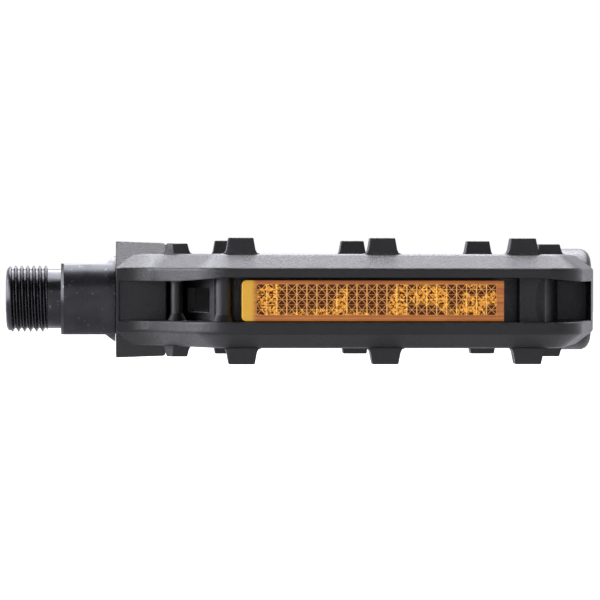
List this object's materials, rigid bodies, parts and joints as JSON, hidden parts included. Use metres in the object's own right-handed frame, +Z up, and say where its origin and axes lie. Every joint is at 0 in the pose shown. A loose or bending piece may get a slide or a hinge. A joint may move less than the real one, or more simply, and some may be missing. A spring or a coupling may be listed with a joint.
{
  "type": "flat pedal",
  "caption": "Flat bicycle pedal: black moulded platform with grip teeth and amber edge reflectors, turning on ball bearings round a threaded steel spindle.",
  "frame": {"origin": "centre of the spindle's shoulder face, which seats on the crank arm", "axes": "+X outboard along the spindle, +Z up, normal to the platform's flat face; the rear rail is on the -Y side"},
  "size_m": [0.1247, 0.083, 0.0254],
  "materials": {
    "spindle_steel": "blackened steel, satin with a light oil",
    "bearing_steel": "hardened steel, ground",
    "zinc_steel": "zinc plated",
    "moulded_nylon": "fine moulded grain",
    "seal_rubber": "matt",
    "cap_plastic": "satin",
    "amber_lens": "clear amber acrylic with moulded prisms behind",
    "reflector_tray": "satin",
    "ball_steel": "polished",
    "cage_steel": "stamped"
  },
  "bodies": {
    "spindle_assembly": {"spindle": "spindle_steel", "outboard_cone": "bearing_steel", "key_washer": "zinc_steel", "lock_nut": "zinc_steel"},
    "platform": {"pedal_body": "moulded_nylon", "inboard_cup": "bearing_steel", "outboard_cup": "bearing_steel", "dust_seal": "seal_rubber", "end_cap": "cap_plastic", "rear_reflector_lens": "amber_lens", "rear_reflector_housing": "reflector_tray", "front_reflector_lens": "amber_lens", "front_reflector_housing": "reflector_tray"},
    "inboard_bearing": {"inboard_balls": "ball_steel", "inboard_ball_cage": "cage_steel"},
    "outboard_bearing": {"outboard_balls": "ball_steel", "outboard_ball_cage": "cage_steel"}
  },
  "joints": [
    {"name": "platform_spin", "type": "hinge", "parent": "spindle_assembly", "child": "platform", "pos_m": [0, 0, 0], "axis": [1, 0, 0], "continuous": true},
    {"name": "inboard_cage_spin", "type": "hinge", "parent": "spindle_assembly", "child": "inboard_bearing", "pos_m": [0, 0, 0], "axis": [1, 0, 0], "continuous": true},
    {"name": "outboard_cage_spin", "type": "hinge", "parent": "spindle_assembly", "child": "outboard_bearing", "pos_m": [0, 0, 0], "axis": [1, 0, 0], "continuous": true}
  ],
  "couplings": [
    {"joint": "inboard_cage_spin", "follows": "platform_spin", "ratio": 0.5739},
    {"joint": "outboard_cage_spin", "follows": "platform_spin", "ratio": 0.5891}
  ]
}
